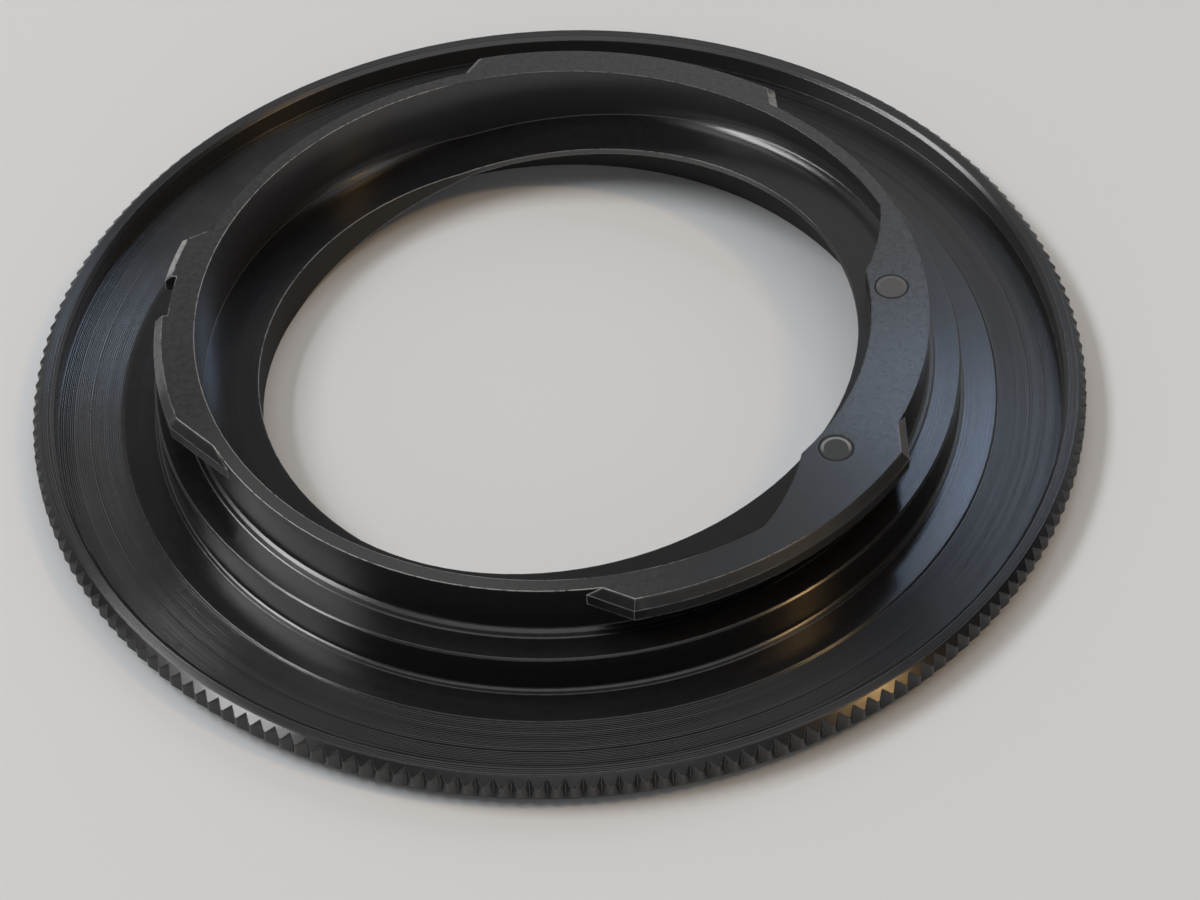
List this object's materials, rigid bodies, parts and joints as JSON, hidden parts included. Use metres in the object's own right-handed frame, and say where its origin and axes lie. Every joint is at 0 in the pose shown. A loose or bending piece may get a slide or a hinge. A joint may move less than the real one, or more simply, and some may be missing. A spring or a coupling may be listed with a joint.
{
  "type": "lens mount adapter",
  "caption": "Flat ring adapter with a wide flange and knurled rim, a raised bayonet hub with three outward lugs for the camera, and an open bore behind a thin inclined lip.",
  "frame": {"origin": "on the opening's axis, in the plane of the flange's underside", "axes": "+Z along the bore from the lens side to the camera side, -Y towards the viewer of the picture, +X to the viewer's right"},
  "size_m": [0.072, 0.072, 0.0082],
  "materials": {
    "black_metal": "black anodised, satin, worn bright at the edges",
    "pin_metal": "dulled, faced off flush"
  },
  "bodies": {
    "root": {"body": "black_metal", "pin_a": "pin_metal", "pin_b": "pin_metal"}
  },
  "joints": []
}
